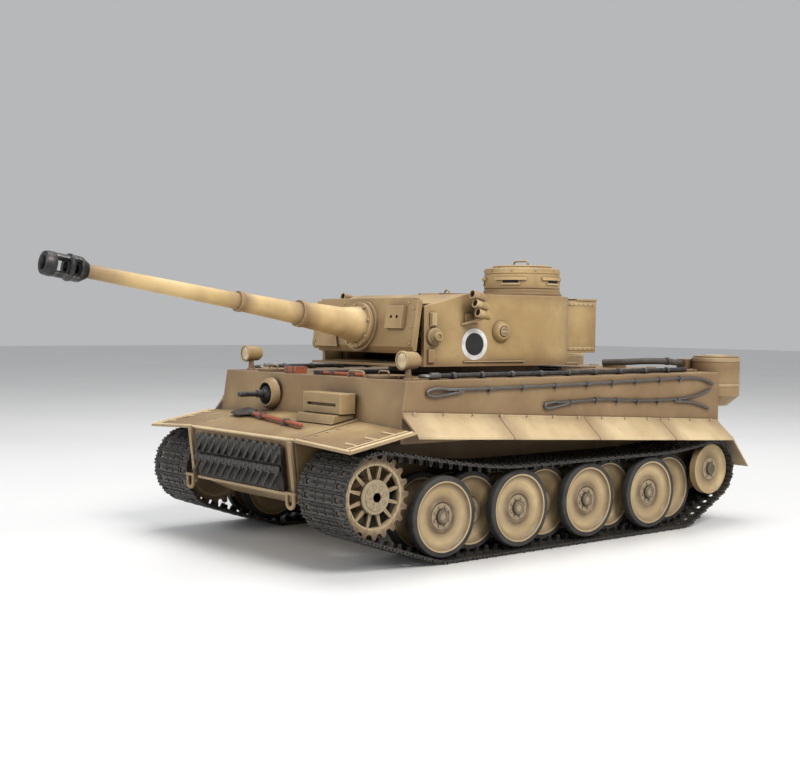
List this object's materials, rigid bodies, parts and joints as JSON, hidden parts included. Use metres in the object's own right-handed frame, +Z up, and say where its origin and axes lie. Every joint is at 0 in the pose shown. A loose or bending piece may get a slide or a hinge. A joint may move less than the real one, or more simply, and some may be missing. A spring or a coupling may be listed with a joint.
{
  "type": "radio-controlled tank",
  "caption": "Radio-controlled model of a heavy tank with a turning turret, an elevating gun, overlapping road wheels, link tracks and opening hatches",
  "frame": {"origin": "on the ground under the middle of the overall length and width, gun at its resting elevation", "axes": "+Y runs rearward along the tank, the gun points to -Y, +X is the tank's left side, +Z is up"},
  "size_m": [0.2332, 0.5224, 0.1892],
  "materials": {
    "sand_paint": "matt dark-yellow paint, airbrushed darker along edges, light dust",
    "wheel_paint_and_rubber": "matt sand-painted dished disc with grey-black rubber tyre",
    "dark_gunmetal": "worn gunmetal",
    "track_metal": "near-black cast metal with bare edges",
    "steel_rope": "dark oiled steel rope",
    "black_hose": "dull dark flexible hose",
    "tool_wood": "stained wooden handles with dark metal heads",
    "gearbox_plastic": "black moulded plastic",
    "battery_wrap": "shrink-wrapped cells",
    "circuit_board": "green laminate with dark components"
  },
  "bodies": {
    "hull": {"lower_hull": "sand_paint", "upper_hull": "sand_paint", "engine_deck": "sand_paint", "side_skirts": "sand_paint", "mudguards": "sand_paint", "driver_visor": "sand_paint", "hull_gun_mount": "sand_paint", "headlights": "sand_paint", "tow_shackles": "sand_paint", "spare_track_brackets": "sand_paint", "air_filters": "sand_paint", "exhausts": "sand_paint", "swing_arms": "sand_paint", "turret_ring": "sand_paint", "cable_clips": "dark_gunmetal", "track_left": "track_metal", "track_right": "track_metal", "spare_track_links": "track_metal", "tow_cables": "steel_rope", "track_cable": "steel_rope", "filter_hoses": "black_hose", "hand_tools": "tool_wood", "gearboxes": "gearbox_plastic", "turret_drive": "gearbox_plastic", "speaker": "gearbox_plastic", "battery_pack": "battery_wrap", "control_board": "circuit_board"},
    "turret": {"turret_shell": "sand_paint", "cupola": "sand_paint", "stowage_bin": "sand_paint", "turret_fittings": "sand_paint", "smoke_dischargers": "sand_paint"},
    "gun": {"mantlet": "sand_paint", "gun_barrel": "sand_paint", "muzzle_brake": "dark_gunmetal"},
    "commander_lid": {"commander_hatch": "sand_paint"},
    "loader_lid": {"loader_hatch": "sand_paint"},
    "driver_lid": {"driver_hatch": "sand_paint"},
    "radio_lid": {"radio_hatch": "sand_paint"},
    "bow_gun": {"hull_gun": "dark_gunmetal"},
    "sprocket_left": {"drive_sprocket_left": "sand_paint"},
    "sprocket_right": {"drive_sprocket_right": "sand_paint"},
    "idler_wheel_left": {"idler_left": "sand_paint"},
    "idler_wheel_right": {"idler_right": "sand_paint"},
    "wheel_left_1": {"road_wheel_left_1": "wheel_paint_and_rubber"},
    "wheel_left_2": {"road_wheel_left_2": "wheel_paint_and_rubber"},
    "wheel_left_3": {"road_wheel_left_3": "wheel_paint_and_rubber"},
    "wheel_left_4": {"road_wheel_left_4": "wheel_paint_and_rubber"},
    "wheel_left_5": {"road_wheel_left_5": "wheel_paint_and_rubber"},
    "wheel_left_6": {"road_wheel_left_6": "wheel_paint_and_rubber"},
    "wheel_left_7": {"road_wheel_left_7": "wheel_paint_and_rubber"},
    "wheel_left_8": {"road_wheel_left_8": "wheel_paint_and_rubber"},
    "wheel_right_1": {"road_wheel_right_1": "wheel_paint_and_rubber"},
    "wheel_right_2": {"road_wheel_right_2": "wheel_paint_and_rubber"},
    "wheel_right_3": {"road_wheel_right_3": "wheel_paint_and_rubber"},
    "wheel_right_4": {"road_wheel_right_4": "wheel_paint_and_rubber"},
    "wheel_right_5": {"road_wheel_right_5": "wheel_paint_and_rubber"},
    "wheel_right_6": {"road_wheel_right_6": "wheel_paint_and_rubber"},
    "wheel_right_7": {"road_wheel_right_7": "wheel_paint_and_rubber"},
    "wheel_right_8": {"road_wheel_right_8": "wheel_paint_and_rubber"}
  },
  "joints": [
    {"name": "turret_turn", "type": "hinge", "parent": "hull", "child": "turret", "pos_m": [0, 0.05575, 0.1164], "axis": [0, 0, 1], "range_deg": [-180, 180]},
    {"name": "gun_elevate", "type": "hinge", "parent": "turret", "child": "gun", "pos_m": [0, -0.00425, 0.1373], "axis": [-1, 0, 0], "range_deg": [-10.7, 6.3]},
    {"name": "commander_hatch_open", "type": "hinge", "parent": "turret", "child": "commander_lid", "pos_m": [0.031, 0.10515, 0.185], "axis": [-1, 0, 0], "range_deg": [0, 100]},
    {"name": "loader_hatch_open", "type": "hinge", "parent": "turret", "child": "loader_lid", "pos_m": [-0.028, 0.04775, 0.1653], "axis": [1, 0, 0], "range_deg": [0, 100]},
    {"name": "driver_hatch_open", "type": "hinge", "parent": "hull", "child": "driver_lid", "pos_m": [0.0769, -0.062, 0.1116], "axis": [0, 1, 0], "range_deg": [0, 100]},
    {"name": "radio_hatch_open", "type": "hinge", "parent": "hull", "child": "radio_lid", "pos_m": [-0.0769, -0.062, 0.1116], "axis": [0, -1, 0], "range_deg": [0, 100]},
    {"name": "bow_gun_swing", "type": "hinge", "parent": "hull", "child": "bow_gun", "pos_m": [-0.0375, -0.0854, 0.0964], "axis": [0, 0, 1], "range_deg": [-10, 10]},
    {"name": "sprocket_left_spin", "type": "hinge", "parent": "hull", "child": "sprocket_left", "pos_m": [0.088, -0.10595, 0.0442], "axis": [1, 0, 0], "continuous": true},
    {"name": "idler_left_spin", "type": "hinge", "parent": "hull", "child": "idler_wheel_left", "pos_m": [0.093, 0.205, 0.04], "axis": [1, 0, 0], "continuous": true},
    {"name": "wheel_left_1_spin", "type": "hinge", "parent": "hull", "child": "wheel_left_1", "pos_m": [0.088, -0.05395, 0.0282], "axis": [1, 0, 0], "continuous": true},
    {"name": "wheel_left_2_spin", "type": "hinge", "parent": "hull", "child": "wheel_left_2", "pos_m": [0.088, -0.02215, 0.0282], "axis": [1, 0, 0], "continuous": true},
    {"name": "wheel_left_3_spin", "type": "hinge", "parent": "hull", "child": "wheel_left_3", "pos_m": [0.088, 0.00965, 0.0282], "axis": [1, 0, 0], "continuous": true},
    {"name": "wheel_left_4_spin", "type": "hinge", "parent": "hull", "child": "wheel_left_4", "pos_m": [0.088, 0.04145, 0.0282], "axis": [1, 0, 0], "continuous": true},
    {"name": "wheel_left_5_spin", "type": "hinge", "parent": "hull", "child": "wheel_left_5", "pos_m": [0.088, 0.07325, 0.0282], "axis": [1, 0, 0], "continuous": true},
    {"name": "wheel_left_6_spin", "type": "hinge", "parent": "hull", "child": "wheel_left_6", "pos_m": [0.088, 0.10505, 0.0282], "axis": [1, 0, 0], "continuous": true},
    {"name": "wheel_left_7_spin", "type": "hinge", "parent": "hull", "child": "wheel_left_7", "pos_m": [0.088, 0.13685, 0.0282], "axis": [1, 0, 0], "continuous": true},
    {"name": "wheel_left_8_spin", "type": "hinge", "parent": "hull", "child": "wheel_left_8", "pos_m": [0.088, 0.16865, 0.0282], "axis": [1, 0, 0], "continuous": true},
    {"name": "sprocket_right_spin", "type": "hinge", "parent": "hull", "child": "sprocket_right", "pos_m": [-0.088, -0.10595, 0.0442], "axis": [1, 0, 0], "continuous": true},
    {"name": "idler_right_spin", "type": "hinge", "parent": "hull", "child": "idler_wheel_right", "pos_m": [-0.093, 0.205, 0.04], "axis": [1, 0, 0], "continuous": true},
    {"name": "wheel_right_1_spin", "type": "hinge", "parent": "hull", "child": "wheel_right_1", "pos_m": [-0.088, -0.05395, 0.0282], "axis": [1, 0, 0], "continuous": true},
    {"name": "wheel_right_2_spin", "type": "hinge", "parent": "hull", "child": "wheel_right_2", "pos_m": [-0.088, -0.02215, 0.0282], "axis": [1, 0, 0], "continuous": true},
    {"name": "wheel_right_3_spin", "type": "hinge", "parent": "hull", "child": "wheel_right_3", "pos_m": [-0.088, 0.00965, 0.0282], "axis": [1, 0, 0], "continuous": true},
    {"name": "wheel_right_4_spin", "type": "hinge", "parent": "hull", "child": "wheel_right_4", "pos_m": [-0.088, 0.04145, 0.0282], "axis": [1, 0, 0], "continuous": true},
    {"name": "wheel_right_5_spin", "type": "hinge", "parent": "hull", "child": "wheel_right_5", "pos_m": [-0.088, 0.07325, 0.0282], "axis": [1, 0, 0], "continuous": true},
    {"name": "wheel_right_6_spin", "type": "hinge", "parent": "hull", "child": "wheel_right_6", "pos_m": [-0.088, 0.10505, 0.0282], "axis": [1, 0, 0], "continuous": true},
    {"name": "wheel_right_7_spin", "type": "hinge", "parent": "hull", "child": "wheel_right_7", "pos_m": [-0.088, 0.13685, 0.0282], "axis": [1, 0, 0], "continuous": true},
    {"name": "wheel_right_8_spin", "type": "hinge", "parent": "hull", "child": "wheel_right_8", "pos_m": [-0.088, 0.16865, 0.0282], "axis": [1, 0, 0], "continuous": true}
  ],
  "couplings": [
    {"joint": "idler_left_spin", "follows": "sprocket_left_spin", "ratio": 1.3867},
    {"joint": "wheel_left_1_spin", "follows": "sprocket_left_spin", "ratio": 1.04},
    {"joint": "wheel_left_2_spin", "follows": "sprocket_left_spin", "ratio": 1.04},
    {"joint": "wheel_left_3_spin", "follows": "sprocket_left_spin", "ratio": 1.04},
    {"joint": "wheel_left_4_spin", "follows": "sprocket_left_spin", "ratio": 1.04},
    {"joint": "wheel_left_5_spin", "follows": "sprocket_left_spin", "ratio": 1.04},
    {"joint": "wheel_left_6_spin", "follows": "sprocket_left_spin", "ratio": 1.04},
    {"joint": "wheel_left_7_spin", "follows": "sprocket_left_spin", "ratio": 1.04},
    {"joint": "wheel_left_8_spin", "follows": "sprocket_left_spin", "ratio": 1.04},
    {"joint": "idler_right_spin", "follows": "sprocket_right_spin", "ratio": 1.3867},
    {"joint": "wheel_right_1_spin", "follows": "sprocket_right_spin", "ratio": 1.04},
    {"joint": "wheel_right_2_spin", "follows": "sprocket_right_spin", "ratio": 1.04},
    {"joint": "wheel_right_3_spin", "follows": "sprocket_right_spin", "ratio": 1.04},
    {"joint": "wheel_right_4_spin", "follows": "sprocket_right_spin", "ratio": 1.04},
    {"joint": "wheel_right_5_spin", "follows": "sprocket_right_spin", "ratio": 1.04},
    {"joint": "wheel_right_6_spin", "follows": "sprocket_right_spin", "ratio": 1.04},
    {"joint": "wheel_right_7_spin", "follows": "sprocket_right_spin", "ratio": 1.04},
    {"joint": "wheel_right_8_spin", "follows": "sprocket_right_spin", "ratio": 1.04}
  ]
}
